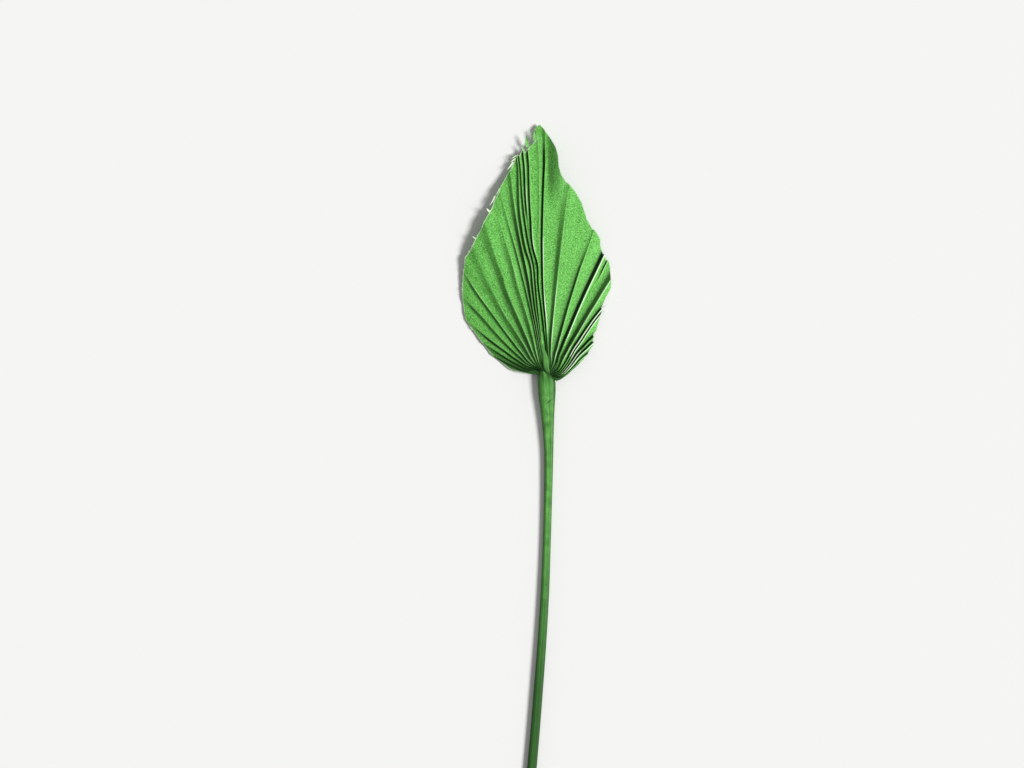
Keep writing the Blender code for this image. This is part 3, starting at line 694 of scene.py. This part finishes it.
stem = bpy.data.materials.new("dyed palm leaf stalk")
stem.use_nodes = True
tree = stem.node_tree
tree.nodes.clear()
output = tree.nodes.new("ShaderNodeOutputMaterial")
place = tree.nodes.new("ShaderNodeTexCoord")
strand_map = add_node(tree, "ShaderNodeMapping", {
    "Vector": place.outputs["Object"],
    "Scale": (1 / STRAND_WIDTH, 1 / STRAND_LENGTH, 1 / STRAND_WIDTH),
})
strands = add_node(tree, "ShaderNodeTexNoise", {
    "Vector": strand_map.outputs[0], "Scale": 1.0, "Detail": 3.0, "Roughness": 0.6,
})
blotches = add_node(tree, "ShaderNodeTexNoise", {
    "Vector": place.outputs["Object"], "Scale": 1 / BLOTCH_SIZE, "Detail": 3.0,
})
tone = add_node(tree, "ShaderNodeMath", {
    0: strands.outputs["Fac"], 1: blotches.outputs["Fac"],
}, operation="ADD")
tone = add_node(tree, "ShaderNodeMapRange", {
    "Value": tone.outputs[0], "From Min": 0.65, "From Max": 1.35,
})
green = add_node(tree, "ShaderNodeMix", {
    "Factor": tone.outputs[0], FIRST: linear(STALK_DEEP), SECOND: linear(STALK_LIGHT),
}, data_type="RGBA")
split = add_node(tree, "ShaderNodeSeparateXYZ", {"Vector": place.outputs["Object"]})
lower = add_node(tree, "ShaderNodeMapRange", {
    "Value": split.outputs["Y"], "From Min": LOW_FROM, "From Max": LOW_TO, "To Max": LOW_DARK,
})
green = add_node(tree, "ShaderNodeMix", {
    "Factor": lower.outputs[0], FIRST: green.outputs[2], SECOND: linear(STALK_LOW),
}, data_type="RGBA")
# Painted shade on the stalk's flanks, creases and rim, and on the rib
at_stalk_shade = add_node(tree, "ShaderNodeAttribute", attribute_name="stalk_shade")
at_stalk_shade = add_node(tree, "ShaderNodeMath", {
    0: at_stalk_shade.outputs["Fac"], 1: STALK_SHADE_STRENGTH,
}, operation="MULTIPLY")
green = add_node(tree, "ShaderNodeMix", {
    "Factor": at_stalk_shade.outputs[0], FIRST: green.outputs[2], SECOND: linear(STALK_SHADE_GREEN),
}, data_type="RGBA")
pith = add_node(tree, "ShaderNodeMix", {
    "Factor": tone.outputs[0], FIRST: linear(PITH_FIBRE), SECOND: linear(PITH_PALE),
}, data_type="RGBA")
at_end = add_node(tree, "ShaderNodeMapRange", {
    "Value": split.outputs["Y"], "From Min": CUT_END + 0.05 * MM, "From Max": CUT_END + 0.02 * MM,
})
green = add_node(tree, "ShaderNodeMix", {
    "Factor": at_end.outputs[0], FIRST: green.outputs[2], SECOND: pith.outputs[2],
}, data_type="RGBA")
bump = add_node(tree, "ShaderNodeBump", {
    "Height": tone.outputs[0], "Strength": 0.3, "Distance": 0.15 * MM,
})
shader = add_node(tree, "ShaderNodeBsdfPrincipled", {
    "Base Color": green.outputs[2], "Roughness": 0.55, "Normal": bump.outputs[0],
    "IOR": 1.45, "Specular IOR Level": 0.25,
})
tree.links.new(shader.outputs[0], output.inputs["Surface"])
for rod in rods:
    rod.data.materials.clear()
    rod.data.materials.append(stem)
    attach(rod, "root")
    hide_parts("palm_spear")

# THE STUDIO
# The leaf lies on a plain white table. A soft lamp stands to its right, so that it rakes across the
# pleats, and a dim sky fills the shadows. The camera looks straight down, with the tip upwards.

TABLE_SIZE = 12
bpy.ops.object.select_all(action="DESELECT")
bpy.ops.mesh.primitive_plane_add(size=TABLE_SIZE, location=(0, 0, 0))
table = bpy.context.object
table.name = table.data.name = "table"
white = bpy.data.materials.new("matt white table")
white.use_nodes = True
white.node_tree.nodes["Principled BSDF"].inputs["Base Color"].default_value = linear("#F4F4F2")
white.node_tree.nodes["Principled BSDF"].inputs["Roughness"].default_value = 0.9
table.data.materials.append(white)

LAMP_DISTANCE, LAMP_STRENGTH, SKY_STRENGTH = 2.2, 3.1, 0.30
LAMP_HEIGHT, LAMP_TURN, LAMP_SOFTNESS = math.radians(46), math.radians(8), math.radians(18)
lamp_data = bpy.data.lights.new("key lamp", "SUN")
lamp_data.angle = LAMP_SOFTNESS
lamp_data.energy = LAMP_STRENGTH
lamp = bpy.data.objects.new("key lamp", lamp_data)
bpy.context.scene.collection.objects.link(lamp)
lamp.location = LAMP_DISTANCE * Vector((
    math.cos(LAMP_HEIGHT) * math.cos(LAMP_TURN),
    -math.cos(LAMP_HEIGHT) * math.sin(LAMP_TURN),
    math.sin(LAMP_HEIGHT),
))
lamp.rotation_euler = (-lamp.location).to_track_quat("-Z", "Y").to_euler()

sky = bpy.data.worlds.new("studio")
sky.use_nodes = True
sky.node_tree.nodes["Background"].inputs["Color"].default_value = (1, 1, 1, 1)
sky.node_tree.nodes["Background"].inputs["Strength"].default_value = SKY_STRENGTH
bpy.context.scene.world = sky
bpy.context.scene.view_settings.view_transform = "Standard"

# The hub is at pixel 547, 376 of the 1024 x 768 photograph, and a pixel is 100/150 mm
PICTURE, HUB_PIXEL, PIXEL = (1024, 768), (547, 376), 100 / 150 * MM
CAMERA_HEIGHT, SENSOR = 1.5, 36
camera_data = bpy.data.cameras.new("camera")
camera_data.sensor_width = SENSOR
camera_data.lens = SENSOR * CAMERA_HEIGHT / (PICTURE[0] * PIXEL)
camera = bpy.data.objects.new("camera", camera_data)
camera.location = (
    (PICTURE[0] / 2 - HUB_PIXEL[0]) * PIXEL,
    (HUB_PIXEL[1] - PICTURE[1] / 2) * PIXEL,
    CAMERA_HEIGHT,
)
bpy.context.scene.collection.objects.link(camera)
bpy.context.scene.camera = camera
